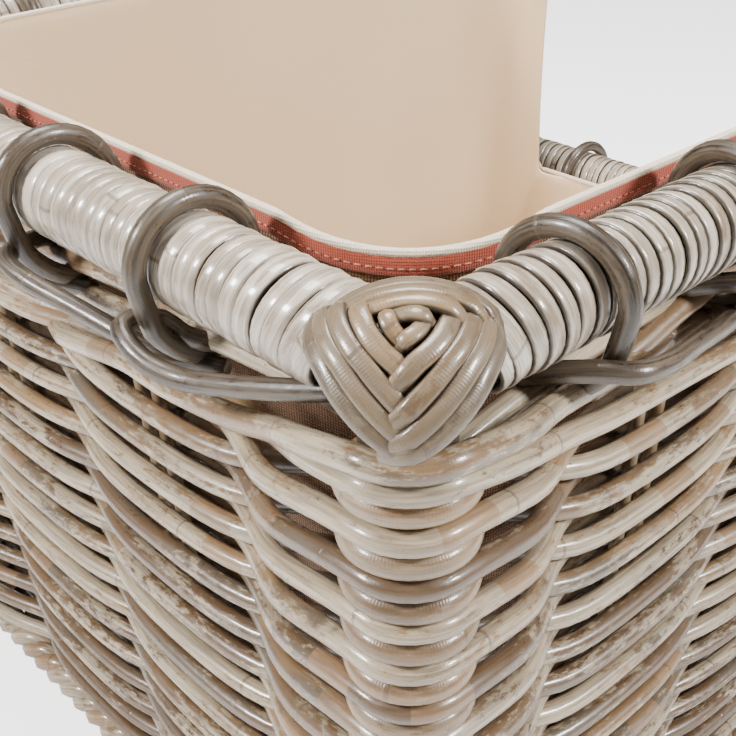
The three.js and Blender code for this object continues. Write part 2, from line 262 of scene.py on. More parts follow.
def makeCaneSkin():
    colour, number = "NodeSocketColor", "NodeSocketFloat"
    group, given, out = makeGroup("caneSkin", [
        ("Tone A", colour, (0.6, 0.5, 0.4, 1)), ("Tone B", colour, (0.4, 0.3, 0.2, 1)),
        ("Tone C", colour, (0.3, 0.25, 0.2, 1)), ("Wash", colour, (0.8, 0.78, 0.72, 1)),
        ("Wash Amount", number, 0.5), ("Peel", number, 0.15), ("Ridges", number, 0.3), ("Dirt", number, 0.5),
    ], [("Color", colour), ("Roughness", number), ("Height", number)])
    given = given.outputs

    def times(a, b):
        return mathNode(group, "MULTIPLY", a, b)

    def plus(a, b):
        return mathNode(group, "ADD", a, b)

    skin = attributeNode(group, "skin")["Vector"]
    seed = attributeNode(group, "seed")["Fac"]
    parts = group.nodes.new("ShaderNodeSeparateXYZ")
    group.links.new(skin, parts.inputs[0])
    along = parts.outputs[0]
    shift = group.nodes.new("ShaderNodeCombineXYZ")  # gives each cane its own piece of every pattern
    group.links.new(times(seed, 173.1), shift.inputs[0])
    group.links.new(times(seed, 59.7), shift.inputs[1])

    def stretched(lengthways, across):
        scaled = vectorNode(group, "MULTIPLY", skin, (lengthways, across, across))
        return vectorNode(group, "ADD", scaled, shift.outputs[0])

    blotch = noiseNode(group, stretched(0.016, 0.10), 1.0, 3.0)
    streak = noiseNode(group, stretched(0.03, 0.9), 1.0, 4.0, 0.6)
    fibre = noiseNode(group, stretched(0.12, 3.2), 1.0, 3.0, 0.6)
    flake = noiseNode(group, stretched(0.16, 0.42), 1.0, 7.0, 0.72)
    speck = noiseNode(group, stretched(1.3, 1.9), 1.0, 2.0)
    stretch = noiseNode(group, stretched(0.011, 0.05), 1.0, 2.0)

    # the cane's own tone, and short lengths where its brown peel is left
    pick = mathNode(group, "FRACT", times(seed, skinLook["toneTurns"]))
    tone = mixColours(group, rangeNode(group, pick, 0.3, 0.75), given["Tone A"], given["Tone B"])
    tone = mixColours(group, rangeNode(group, blotch, 0.50, 0.66), tone, given["Tone C"])
    cell = plus(mathNode(group, "DIVIDE", along, skinLook["segment"]), times(seed, 91.0))
    chance = group.nodes.new("ShaderNodeTexWhiteNoise")
    chance.noise_dimensions = "1D"
    group.links.new(mathNode(group, "FLOOR", cell), chance.inputs["W"])
    bare = mathNode(group, "SUBTRACT", 1.0, given["Peel"])
    peel = mathNode(group, "GREATER_THAN", chance.outputs["Value"], bare)
    tone = mixColours(group, times(peel, skinLook["peelShare"]), tone, skinLook["peelColour"])

    # a pale wash that has flaked off in places
    chalk = plus(times(flake, 0.45), times(stretch, 0.55))
    chalk = plus(chalk, times(mathNode(group, "SUBTRACT", pick, 0.5), -0.12))
    washed = times(rangeNode(group, chalk, 0.47, 0.53), given["Wash Amount"])
    washed = times(washed, mathNode(group, "SUBTRACT", 1.0, times(peel, 0.8)))
    tone = mixColours(group, washed, tone, given["Wash"])

    # dark streaks and fibres, then painted shade inside the wall and at the edges of flat strips, and dirt in
    # specks
    streaks = rangeNode(group, streak, 0.36, 0.62, 0.62, 0.0)
    tone = mixColours(group, streaks, tone, skinLook["streakColour"])
    tone = mixColours(group, rangeNode(group, fibre, 0.3, 0.7, 0.22, 0.0), tone, skinLook["fibreColour"])
    # painted shade: a cane darkens toward near black the deeper inside the wall it lies
    insideShade = times(attributeNode(group, "inner")["Fac"], skinLook["insideShadeShare"])
    tone = mixColours(group, insideShade, tone, skinLook["insideShadeColour"])
    # painted shade: the edges of flat strips darken where they lap against their neighbours
    edgeShade = rangeNode(group, attributeNode(group, "edge")["Fac"], 0.74, 0.97, 0.0, 0.9)
    tone = mixColours(group, edgeShade, tone, skinLook["edgeShadeColour"])
    specks = times(rangeNode(group, speck, 0.68, 0.74), given["Dirt"])
    tone = mixColours(group, specks, tone, skinLook["speckColour"])

    # the joints of the cane, thin dark rings far apart
    spacing = plus(mathNode(group, "DIVIDE", along, skinLook["joint"]), times(seed, 13.3))
    fromJoint = mathNode(group, "SUBTRACT", mathNode(group, "FRACT", spacing), 0.5)
    joint = rangeNode(group, mathNode(group, "ABSOLUTE", fromJoint), 0.003, 0.008, 1.0, 0.0)
    tone = mixColours(group, times(joint, 0.6), tone, skinLook["jointColour"])

    ridge = times(mathNode(group, "SINE", times(along, 7.0)), times(given["Ridges"], 0.12))
    height = plus(plus(times(streak, 0.5), times(flake, 0.45)), times(joint, 0.5))
    group.links.new(tone, out.inputs["Color"])
    group.links.new(rangeNode(group, flake, 0.35, 0.65, 0.26, 0.5), out.inputs["Roughness"])
    group.links.new(plus(height, ridge), out.inputs["Height"])
    return group


caneSkin = makeCaneSkin()


def caneMaterial(name, toneA, toneB, toneC, wash, washAmount, peel, ridges, dirt, coat, bump):
    material = bpy.data.materials.new(name)
    material.use_nodes = True
    tree = material.node_tree
    shader = tree.nodes["Principled BSDF"]
    skin = tree.nodes.new("ShaderNodeGroup")
    skin.node_tree = caneSkin
    for label, value in (("Tone A", toneA), ("Tone B", toneB), ("Tone C", toneC), ("Wash", wash)):
        skin.inputs[label].default_value = (*value, 1)
    for label, value in (("Wash Amount", washAmount), ("Peel", peel), ("Ridges", ridges), ("Dirt", dirt)):
        skin.inputs[label].default_value = value
    bumpNode = tree.nodes.new("ShaderNodeBump")
    bumpNode.inputs["Strength"].default_value = bump
    bumpNode.inputs["Distance"].default_value = 0.0006
    tree.links.new(skin.outputs["Height"], bumpNode.inputs["Height"])
    tree.links.new(skin.outputs["Color"], shader.inputs["Base Color"])
    tree.links.new(skin.outputs["Roughness"], shader.inputs["Roughness"])
    tree.links.new(bumpNode.outputs["Normal"], shader.inputs["Normal"])
    shader.inputs["Coat Weight"].default_value = coat
    shader.inputs["Coat Roughness"].default_value = 0.14
    return material


weaveCane = caneMaterial(
    "weaveCane", (0.37, 0.22, 0.10), (0.125, 0.066, 0.029), (0.125, 0.098, 0.068), (0.58, 0.475, 0.325),
    washAmount=0.82, peel=0.16, ridges=0.2, dirt=0.5, coat=0.6, bump=0.35)
bindingCane = caneMaterial(
    "bindingCane", (0.58, 0.485, 0.37), (0.47, 0.39, 0.30), (0.33, 0.23, 0.14), (0.70, 0.62, 0.51),
    washAmount=0.5, peel=0.03, ridges=0.15, dirt=0.5, coat=0.8, bump=0.2)
knotCane = caneMaterial(
    "knotCane", (0.25, 0.145, 0.06), (0.12, 0.092, 0.06), (0.12, 0.075, 0.038), (0.38, 0.29, 0.18),
    washAmount=0.3, peel=0.0, ridges=0.45, dirt=0.4, coat=0.5, bump=0.35)
wrapCane = caneMaterial(
    "wrapCane", (0.36, 0.21, 0.10), (0.27, 0.165, 0.085), (0.15, 0.09, 0.047), (0.52, 0.40, 0.265),
    washAmount=0.4, peel=0.0, ridges=0.6, dirt=0.4, coat=0.45, bump=0.35)
ringCane = caneMaterial(
    "ringCane", (0.020, 0.013, 0.008), (0.015, 0.011, 0.007), (0.01, 0.007, 0.005), (0.15, 0.12, 0.085),
    washAmount=0.26, peel=0.02, ridges=0.2, dirt=0.5, coat=0.28, bump=0.4)
stakeCane = caneMaterial(
    "stakeCane", (0.40, 0.28, 0.155), (0.29, 0.19, 0.10), (0.14, 0.09, 0.05), (0.5, 0.41, 0.28),
    washAmount=0.3, peel=0.0, ridges=0.2, dirt=0.4, coat=0.2, bump=0.3)
# near black; on the knot cores this is painted shade that shows in the gaps between the strips
poleCane = caneMaterial(
    "poleCane", (0.02, 0.013, 0.008), (0.018, 0.012, 0.008), (0.014, 0.01, 0.007), (0.03, 0.02, 0.014),
    washAmount=0.2, peel=0.0, ridges=0.1, dirt=0.3, coat=0.0, bump=0.3)


def clothMaterial(name, weaveScale, light, dark, patchy, depth, slub=0.35):
    # plain woven cloth on Object coordinates, with crossing threads from two sine waves
    material = bpy.data.materials.new(name)
    material.use_nodes = True
    tree = material.node_tree
    shader = tree.nodes["Principled BSDF"]
    spot = tree.nodes.new("ShaderNodeTexCoord").outputs["Object"]
    parts = tree.nodes.new("ShaderNodeSeparateXYZ")
    tree.links.new(spot, parts.inputs[0])
    sideways = mathNode(tree, "ADD", parts.outputs[0], parts.outputs[1])
    warp = mathNode(tree, "SINE", mathNode(tree, "MULTIPLY", sideways, weaveScale))
    weft = mathNode(tree, "SINE", mathNode(tree, "MULTIPLY", parts.outputs[2], weaveScale * 1.1))
    threads = mathNode(tree, "MULTIPLY", mathNode(tree, "ADD", warp, 1.0), mathNode(tree, "ADD", weft, 1.0))
    slubs = noiseNode(tree, vectorNode(tree, "MULTIPLY", spot, (220.0, 220.0, 900.0)), 1.0, 3.0)
    cloud = noiseNode(tree, spot, 14.0, 4.0)
    tone = mixColours(tree, rangeNode(tree, threads, 0.0, 3.2), dark, light)
    tone = mixColours(tree, rangeNode(tree, slubs, 0.42, 0.7, 0.0, slub), tone, dark)
    tone = mixColours(tree, rangeNode(tree, cloud, 0.45, 0.7, 0.0, patchy), tone, dark)
    tree.links.new(tone, shader.inputs["Base Color"])
    bumpNode = tree.nodes.new("ShaderNodeBump")
    bumpNode.inputs["Strength"].default_value = 0.5
    bumpNode.inputs["Distance"].default_value = depth
    tree.links.new(threads, bumpNode.inputs["Height"])
    tree.links.new(bumpNode.outputs["Normal"], shader.inputs["Normal"])
    shader.inputs["Roughness"].default_value = 0.95
    shader.inputs["Sheen Weight"].default_value = 0.25
    return material


linerInside = clothMaterial("linerInside", 7000.0, (0.80, 0.62, 0.40), (0.72, 0.53, 0.33), 0.25, 0.0001, 0.15)
# the liner's outside: brown cloth, darkened further as painted shade where it shows in the gaps between the
# weavers
linerOutside = clothMaterial("linerOutside", 4200.0, (0.42, 0.21, 0.072), (0.14, 0.055, 0.016), 0.3, 0.0006)
edgeCloth = clothMaterial("edgeCloth", 5200.0, (0.90, 0.83, 0.69), (0.72, 0.58, 0.42), 0.2, 0.0003)
threadCloth = clothMaterial("threadCloth", 9000.0, (0.62, 0.26, 0.15), (0.5, 0.18, 0.1), 0.1, 0.0001)
tapeCloth = clothMaterial("tapeCloth", 5600.0, (0.50, 0.10, 0.045), (0.34, 0.055, 0.025), 0.3, 0.0003)
for name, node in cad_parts.items():  # poles and posts keep their own shape
    if name.endswith("_pole") or name.endswith("_post"):
        for i in range(len(node.data.materials)):
            node.data.materials[i] = poleCane
print("materials made")

# camera, sky, lights and floor, in metres; glow is what only the camera sees of the sky and floor
shot = dict(lens=57.53, sensor=36.0, spot=(-0.4193, 0.4558, 0.5327), turn=(59.77, 1.363, -132.463))
studio = dict(sky=0.16, glow=2.0, floorSize=6.0, floorZ=-0.0005, floorTone=0.93)

camera = bpy.data.cameras.new("camera")
camera.lens = shot["lens"]
camera.sensor_width = shot["sensor"]
camera.clip_start = 0.01
cameraObject = bpy.data.objects.new("camera", camera)
bpy.context.scene.collection.objects.link(cameraObject)
cameraObject.location = shot["spot"]
cameraObject.rotation_euler = [math.radians(a) for a in shot["turn"]]
bpy.context.scene.camera = cameraObject

world = bpy.data.worlds.new("studio")
world.use_nodes = True
sky = world.node_tree
seen = sky.nodes.new("ShaderNodeLightPath").outputs["Is Camera Ray"]
sky.nodes["Background"].inputs[0].default_value = (1, 1, 1, 1)
sky.links.new(mathNode(sky, "MULTIPLY_ADD", seen, studio["glow"], studio["sky"]),
              sky.nodes["Background"].inputs[1])
bpy.context.scene.world = world


def softBox(name, spot, aim, size, power):
    light = bpy.data.lights.new(name, "AREA")
    light.shape = "SQUARE"
    light.size = size
    light.energy = power
    lamp = bpy.data.objects.new(name, light)
    bpy.context.scene.collection.objects.link(lamp)
    lamp.location = spot
    lamp.rotation_mode = "QUATERNION"
    lamp.rotation_quaternion = (Vector(aim) - Vector(spot)).to_track_quat("-Z", "Y")


softBox("overhead", (0.2, 0.0, 1.8), (0, 0, 0.2), size=0.7, power=42)
softBox("backSide", (0.45, 1.4, 1.2), (-0.1, 0.2, 0.3), size=0.28, power=46)
softBox("leftSide", (-1.35, -0.45, 1.2), (-0.2, 0.1, 0.3), size=0.28, power=42)

bm = bmesh.new()
bmesh.ops.create_grid(bm, x_segments=1, y_segments=1, size=studio["floorSize"])
floorMesh = bpy.data.meshes.new("floor")
bm.to_mesh(floorMesh)
bm.free()
floor = bpy.data.objects.new("floor", floorMesh)
floor.location = (0, 0, studio["floorZ"])
bpy.context.scene.collection.objects.link(floor)
floorPaint = bpy.data.materials.new("floorPaint")
floorPaint.use_nodes = True
paint = floorPaint.node_tree
shader = paint.nodes["Principled BSDF"]
shader.inputs["Base Color"].default_value = (*[studio["floorTone"]] * 3, 1)
shader.inputs["Roughness"].default_value = 0.8
shader.inputs["Emission Color"].default_value = (1, 1, 1, 1)
seen = paint.nodes.new("ShaderNodeLightPath").outputs["Is Camera Ray"]
paint.links.new(mathNode(paint, "MULTIPLY", seen, studio["glow"]), shader.inputs["Emission Strength"])
floorMesh.materials.append(floorPaint)
print("camera and studio set")

# rail binding: turns of flat cane that fan out beside the knots
binding = dict(centre=16.4, wobble=(-0.25, 0.3), width=(5.3, 7.3), lap=0.99, flat=0.34, points=28,
               slant=0.16, slantWobble=0.05, tip=(0.0, 0.07), end=23.5, lowEnd=24.5,
               fan=15.0, fanReach=46.0, widen=0.035)


def wrapRing(wall, s, width, fan, tip):
    # one turn of flat cane round the rail; near a corner its top leans over toward the corner
    angle = np.pi + np.arange(binding["points"]) * 2 * np.pi / binding["points"]
    r = binding["centre"] + rng.uniform(*binding["wobble"])
    u, z = r * np.cos(angle), r * np.sin(angle)
    over = (0.5 + 0.5 * np.sin(angle + 0.25)) ** 1.6
    s = s + math.tan(tip) * z + math.copysign(fan, s) * (over - 0.1)
    slant = binding["slant"] + rng.uniform(-binding["slantWobble"], binding["slantWobble"])
    normals = place(dict(wall, away=0.0), math.sin(slant), np.cos(angle) * math.cos(slant),
                    np.sin(angle) * math.cos(slant))
    return dict(path=leaned(place(wall, s, u, railHeight(wall) + z)),
                r=width / 2 * (1 + binding["widen"] * fan * over), closed=True, seed=rng.random(),
                normals=normals, flat=binding["flat"])


for wall in walls:
    strips = []
    low = -wall["half"] + (binding["lowEnd"] if wall["drop"] else binding["end"])
    s = low + 3
    while s < -low - 2:
        width = rng.uniform(*binding["width"])
        fromEnd = wall["half"] - binding["end"] - abs(s)
        nearEnd = 0.0 if wall["drop"] else max(0.0, 1 - fromEnd / binding["fanReach"])
        tip = rng.uniform(*binding["tip"])
        strips.append(wrapRing(wall, s, width, binding["fan"] * nearEnd ** 1.4, tip))
        s += width * binding["lap"]
    addCanes(wall["name"] + "Binding", strips, 10, bindingCane,
             replaces=[wall["name"] + "_rail_binding"])
print("rails bound")

# corner knots: three sets of strips over a dome, each layer tucked under the next; the open layers are
# only at the front corners, where one side stands open and the strips run further round
knot = dict(outward=3.5, rise=-1.0, face=40.0, deep=28.0, down=37.0, up=28.0, wide=32.0, eye=21.0,
            curve=33.0, layers=[3.7, 9.8, 15.9, 21.8, 27.4], openLayers=[33.5, 39.5], turn=(-74, 70),
            points=26, half=3.0, flat=0.62, square=0.75, reach=36.0)
knotCore = dict(under=3.2, deeper=17, start=25, openStart=34, over=22)  # near-black body below the strips, painted shade that shows in the gaps between them


def domePoint(corner, x, y, lift):
    # x across and y up the dome's face, both in mm from the eye; gives the place and the normal there
    r = np.hypot(x, y)
    bend = r / knot["curve"]
    perMm = np.where(r > 1e-6, np.sin(bend) / np.maximum(r, 1e-6), 1 / knot["curve"])
    unit = np.stack([x * perMm, y * perMm, np.cos(bend)], -1)
    eye = math.radians(knot["eye"])
    face = math.radians(knot["face"])
    ahead = unit[..., 2] * math.cos(eye) - unit[..., 1] * math.sin(eye)
    above = unit[..., 1] * math.cos(eye) + unit[..., 2] * math.sin(eye)
    tall = np.where(above > 0, knot["up"], knot["down"])

    def toWorld(across, out, high):
        diagonal = np.array([corner[0], corner[1], 0]) / math.sqrt(2)
        side = np.array([-diagonal[1], diagonal[0], 0])
        return across[..., None] * side + out[..., None] * diagonal + high[..., None] * np.array([0, 0, 1.0])

    def tipped(across, out, high):
        return (across, out * math.cos(face) - high * math.sin(face),
                out * math.sin(face) + high * math.cos(face))

    normal = toWorld(*tipped(unit[..., 0] / knot["wide"], ahead / knot["deep"], above / tall))
    normal /= np.linalg.norm(normal, axis=-1, keepdims=True)
    across, out, high = tipped(unit[..., 0] * knot["wide"], ahead * knot["deep"], above * tall)
    spot = toWorld(across, out + knot["outward"], high + knot["rise"]) + normal * lift[..., None]
    spot += np.array([corner[0] * basket["halfX"], corner[1] * basket["halfY"], basket["railZ"]])
    return spot, normal


for index, corner in enumerate(corners):
    strips = []
    atFront = index in (1, 2)
    for layer, reach in enumerate(knot["layers"] + (knot["openLayers"] if atFront else [])):
        for arm in (90.0, 210.0, 330.0):
            turn = np.radians(np.linspace(*knot["turn"], knot["points"]))
            r = reach / np.cos(turn * 0.80) + rng.uniform(-0.2, 0.2)
            limit = max(knot["reach"], reach + 8)
            r = (r ** -6 + limit ** -6) ** (-1 / 6)
            angle = np.radians(arm) + turn
            lift = -0.2 - 0.35 * layer + 0.9 * np.clip(-turn / 0.8, -1.2, 0.9)
            lift -= 3.4 * np.clip((np.abs(turn) - 1.0) / 0.25, 0, 1)
            spot, normal = domePoint(corner, r * np.cos(angle), r * np.sin(angle), lift)
            width = knot["half"] * (0.8 if layer == 0 else 1.0)
            tone = (layer + 0.5) / len(knot["layers"]) * 0.8 + rng.uniform(0, 0.12)
            seed = (rng.integers(20) + tone) / skinLook["toneTurns"]
            strips.append(dict(path=spot, r=width, seed=seed, normals=normal, flat=knot["flat"],
                               square=knot["square"]))
    addCanes("knotStrips%d" % index, strips, 10, knotCane, replaces=[cornerNames[index] + "_knot"])
    # the near-black core under the strips is painted shade in the gaps between them
    bm = bmesh.new()
    bmesh.ops.create_icosphere(bm, subdivisions=4, radius=1.0)
    unit = np.array([v.co[:] for v in bm.verts])
    polar = np.arccos(np.clip(unit[:, 2], -1, 1)) * knot["curve"]
    fromAxis = np.maximum(np.hypot(unit[:, 0], unit[:, 1]), 1e-6)
    past = (polar - (knotCore["openStart"] if atFront else knotCore["start"])) / knotCore["over"]
    spot, normal = domePoint(corner, unit[:, 0] / fromAxis * polar, unit[:, 1] / fromAxis * polar,
                             -knotCore["under"] - knotCore["deeper"] * np.clip(past, 0, 1))
    for v, p in zip(bm.verts, leaned(spot)):
        v.co = p / 1000
    bmesh.ops.recalc_face_normals(bm, faces=bm.faces)
    mesh = bpy.data.meshes.new("knotCore%d" % index)
    bm.to_mesh(mesh)
    bm.free()
    addPiece("knotCore%d" % index, mesh, poleCane)
print("knots tied")

# rings round the rail, drawn in below it round the border rods
ring = dict(radius=3.75, wobble=(0.92, 1.06), points=36, round=22.4, narrow=0.3, foot=12.0, skew=0.12)
for wall in walls:
    loops = []
    for s in wall["rings"]:
        angle = np.pi + np.arange(ring["points"]) * 2 * np.pi / ring["points"]
        u, z = ring["round"] * np.cos(angle), ring["round"] * np.sin(angle)
        u = u * (1 - ring["narrow"] * np.clip(-z / ring["round"], 0, 1))
        z = np.where(z < -0.1, z - ring["foot"] * np.clip(-z / 8, 0, 1), z)
        skew = rng.uniform(-ring["skew"], ring["skew"])
        loops.append(dict(path=leaned(place(wall, s + skew * u, u, railHeight(wall) + z)),
                          r=ring["radius"] * rng.uniform(*ring["wobble"]), closed=True, seed=rng.random()))
    addCanes(wall["name"] + "Rings", loops, 12, ringCane,
             replaces=["%s_ring_%d" % (wall["name"], i + 1) for i in range(len(wall["rings"]))])


def railRod(wall, points, radius, step=4.0):
    # a rod through (s, u, height from the rail's centre)
    p = np.array(points)
    path = leaned(smooth(place(wall, p[:, 0], p[:, 1], railHeight(wall) + p[:, 2]), step))
    return dict(path=path, r=radius, seed=rng.random())


# lashing canes: each starts behind one ring's leg, curls round it and runs on to the next or to the knot
lashing = dict(radius=3.7, step=3.5, toKnot=20, toRing=4)
for wall in walls:
    runs = []
    for i, s in enumerate(wall["rings"]):
        if i == len(wall["rings"]) - 1:
            end = wall["half"] - lashing["toKnot"]
            points = [(s + 6, -8, -32), (s + 1, 6, -27), (s - 6, 12, -20), (s - 9, 20, -17.5),
                      (s - 7, 27, -17.5), (s + 1, 29.5, -20), (s + 12, 29, -23.5), (s + 25, 25, -25),
                      (s + 44, 20, -21), (s + 65, 13, -16), (end, 8, -12)]
        else:
            end = wall["rings"][i + 1] - lashing["toRing"]
            points = [(s - 17, -2, -24), (s - 11, 10, -20), (s - 5, 20, -18), (s + 3, 28, -18.5),
                      (s + 18, 28.5, -21), (s + 41, 23, -26), (s + 0.93 * (end - s), 15, -33),
                      (end + 2, 6, -37), (end + 14, 0, -38)]
        runs.append(railRod(wall, points, lashing["radius"], lashing["step"]))
    addCanes(wall["name"] + "Lashing", runs, 12, ringCane, replaces=[wall["name"] + "_lashing"])

# border rods under the rail, which rise to each ring's foot in turn
border = dict(radius=4.3, back=150, cornerGap=24)
for wall in walls:
    rods = []
    for s in wall["rings"]:
        most = wall["half"] - border["cornerGap"]
        rods.append(railRod(wall, [(max(s - border["back"], -most), -3, -48), (s - 60, 2, -38),
                                   (s - 14, 0, -30), (s + 40, -3, -27), (min(s + 84, most), -6, -30)],
                            border["radius"]))
    addCanes(wall["name"] + "Border", rods, 10, weaveCane,
             replaces=[wall["name"] + "_border_rod"])

# the weave: swing is how far a rod passes outside or inside the uprights, post and inside the same at
# the corner posts, and rise how much the upper rows climb within reach of a corner
weave = dict(rows=31, top=307.2, pitch=9.2, radius=(4.0, 4.45), swing=6.9, cross=1.5, post=18.9,
             inside=-15.0, insideGap=19, rise=17.0, reach=95.0, riseFrom=70.0, riseOver=110.0, step=9.0,
             wobble=0.35)


def stops(wall, side):
    # where a weaver lies at each post and pair: +1 outside, -1 inside
    found = [(-wall["half"], side)]
    for s in wall["pairs"]:
        side = -side
        found.append((s, side))
    found.append((wall["half"], -side))
    return found


def swingAlong(wall, s, side):
    found = stops(wall, side)
    u = np.zeros(len(s))

    def sideways(index):
        if index in (0, len(found) - 1):
            return weave["post"] if found[index][1] > 0 else weave["inside"]
        return weave["swing"] * found[index][1]

    for i in range(len(found) - 1):
        a, b = found[i][0], found[i + 1][0]
        here = (s >= a) & (s <= b)
        t = (s[here] - a) / (b - a)
        t = 0.5 - 0.5 * np.tanh(weave["cross"] * np.cos(np.pi * t)) / math.tanh(weave["cross"])
        u[here] = sideways(i) * (1 - t) + sideways(i + 1) * t
    return u


def riseAlong(wall, s, z):
    near = np.clip((wall["half"] - np.abs(s)) / weave["reach"], 0, 1)
    fade = min(max((z - weave["riseFrom"]) / weave["riseOver"], 0.0), 1.0)
    return weave["rise"] * fade * (0.5 + 0.5 * np.cos(np.pi * near))


def rowAtCorner(z):
    return riseAlong(walls[0], np.array([walls[0]["half"]]), z)[0]


def rowPath(z, side, lowFront):
    # once round the basket from the back right corner; a row above the low front leaves a gap there
    line = []
    for index, wall in enumerate(walls):
        half = wall["half"]
        ends = stops(wall, side)
        startOut, endOut = side > 0, ends[-1][1] > 0
        if wall["drop"] and not lowFront:
            side = ends[-1][1]
            line.append(None)
            continue
        s = np.linspace(-half, half, int(2 * half / weave["step"]) + 1)
        if not startOut:
            s = s[s > -half + weave["insideGap"]]
        if not endOut:
            s = s[s < half - weave["insideGap"]]
        u = swingAlong(wall, s, side)
        high = z + riseAlong(wall, s, z) + 0.5 * np.sin(s / 31.0 + z)
        # the fourth column is how far inside the uprights the weaver runs, which the skin darkens as painted shade
        line.append(np.column_stack([place(wall, s, u, high), np.clip((1.5 - u) / 8, 0, 1)]))
        if endOut:
            cx, cy = corners[index][0] * basket["halfX"], corners[index][1] * basket["halfY"]
            a = math.atan2(wall["out"][1], wall["out"][0]) + np.radians(np.arange(12, 90, 13))
            line.append(np.stack([cx + weave["post"] * np.cos(a), cy + weave["post"] * np.sin(a),
                                  np.full(len(a), z + rowAtCorner(z)), 0 * a], 1))
        side = ends[-1][1]
    return line


rods = []
for j in range(weave["rows"]):
    z = weave["top"] - weave["pitch"] * j
    lowFront = z <= weave["top"] - basket["drop"]
    parts = rowPath(z + rng.uniform(-weave["wobble"], weave["wobble"]), 1 if j % 2 else -1, lowFront)
    seed = rng.random()
    r = rng.uniform(*weave["radius"])
    if not lowFront:
        gap = next(i for i, part in enumerate(parts) if part is None)
        parts = parts[gap + 1:] + parts[:gap]
    path = np.vstack(parts)
    rods.append(dict(path=leaned(path[:, :3]), r=r, closed=lowFront, seed=seed, inner=path[:, 3]))
addCanes("weave", rods, 10, weaveCane, replaces=[wall["name"] + "_weave" for wall in walls])

# uprights in pairs
upright = dict(radius=2.8, apart=6.2, low=24, belowRail=38, points=12)
stakes = []
for wall in walls:
    z = np.linspace(upright["low"], railHeight(wall) - upright["belowRail"], upright["points"])
    for s in wall["pairs"]:
        for side in (-upright["apart"], upright["apart"]):
            path = leaned(place(wall, s + side, 0.6 * np.sin(z / 40), z))
            stakes.append(dict(path=path, r=upright["radius"], seed=rng.random()))
addCanes("stakes", stakes, 8, stakeCane, replaces=[wall["name"] + "_stakes" for wall in walls])
print("walls woven")

# canes wound round each post between the weavers, and a last one under the knot
winding = dict(round=17.9, radius=4.9, topRadius=5.0, belowRail=36.5, points=40, wobble=0.4)
wraps = []
for index, corner in enumerate(corners):
    cx, cy = corner[0] * basket["halfX"], corner[1] * basket["halfY"]
    a = np.arange(winding["points"]) * 2 * np.pi / winding["points"] + math.atan2(-corner[1], -corner[0])
    x, y = cx + winding["round"] * np.cos(a), cy + winding["round"] * np.sin(a)
    for j in range(weave["rows"]):
        if (j % 2 == 0) == (index in (0, 1)):  # a weaver passes outside this post here
            continue
        z = weave["top"] - weave["pitch"] * j
        tilt = rng.uniform(-winding["wobble"], winding["wobble"]) * np.cos(a + rng.uniform(0, 6))
        path = np.stack([x, y, z + rowAtCorner(z) + tilt], 1)
        wraps.append(dict(path=leaned(path), r=winding["radius"], closed=True, seed=rng.random()))
    path = np.stack([x, y, np.full(len(a), basket["railZ"] - winding["belowRail"])], 1)
    wraps.append(dict(path=leaned(path), r=winding["topRadius"], closed=True, seed=rng.random()))
addCanes("postWraps", wraps, 12, wrapCane, replaces=[name + "_post_wrap" for name in cornerNames])

# long border rods that sweep up to each corner and go round outside its post
# the rows are (distance from the corner, outwards, height from the rail's centre)
sweep = dict(
    upper=[(232, -5, -68), (205, 4, -67), (186, 8, -62), (145, 8.5, -54), (116, 9, -53), (78, 10, -47),
           (48, 13, -37), (24, 19, -27)],
    upperOn=[(26, 19.5, -24), (50, 12, -30), (75, 8, -34), (112, 3, -40), (140, -5, -44)],
    upperArc=(-19, 21.5), upperRadius=4.5,
    lower=[(110, -6, -58), (80, -1, -52), (50, 9, -42), (24, 18, -33)],
    lowerOn=[(26, 19, -35), (57, 13, -44), (87, 10, -51), (130, 9, -54), (169, 8, -57), (210, 2, -62),
             (240, -6, -64)],
    lowerArc=(-27.3, 21.3), lowerRadius=4.2, arc=[4, 25, 45, 65, 86],
    frontArc=(-20, 19.3), frontRadius=4.4, endCurl=[4, 35, 70, 105, 140, 175],
    startCurl=[86, 55, 20, -15, -50, -85],
)


def besideCorner(wall, rows, atEnd):
    rows = np.array(rows, float)
    s = wall["half"] - rows[:, 0] if atEnd else -wall["half"] + rows[:, 0]
    return place(wall, s, rows[:, 1], basket["railZ"] + rows[:, 2])


def roundCorner(index, degrees, arc):
    # the arc is (height from the rail's centre, distance from the post's middle)
    out = walls[index]["out"]
    a = math.atan2(out[1], out[0]) + np.radians(np.array(degrees))
    return np.stack([corners[index][0] * basket["halfX"] + arc[1] * np.cos(a),
                     corners[index][1] * basket["halfY"] + arc[1] * np.sin(a),
                     np.full(len(a), basket["railZ"] + arc[0])], 1)


sweeps = []
for index in range(4):
    before, after = walls[index], walls[(index + 1) % 4]
    if before["drop"]:  # the last rod of the open side's wall curls round the post instead
        lines = [(besideCorner(after, sweep["lowerOn"][::-1], False),
                  roundCorner(index, sweep["startCurl"], sweep["frontArc"]), sweep["frontRadius"])]
    elif after["drop"]:
        lines = [(besideCorner(before, sweep["upper"], True),
                  roundCorner(index, sweep["endCurl"], sweep["frontArc"]), sweep["frontRadius"])]
    else:
        lines = [(besideCorner(before, sweep[which], True), roundCorner(index, sweep["arc"], sweep[which + "Arc"]),
                  besideCorner(after, sweep[which + "On"], False), sweep[which + "Radius"])
                 for which in ("upper", "lower")]
    for line in lines:
        sweeps.append(dict(path=leaned(smooth(np.vstack(line[:-1]))), r=line[-1], seed=rng.random()))
addCanes("cornerSweeps", sweeps, 12, weaveCane)
print("corners wound")


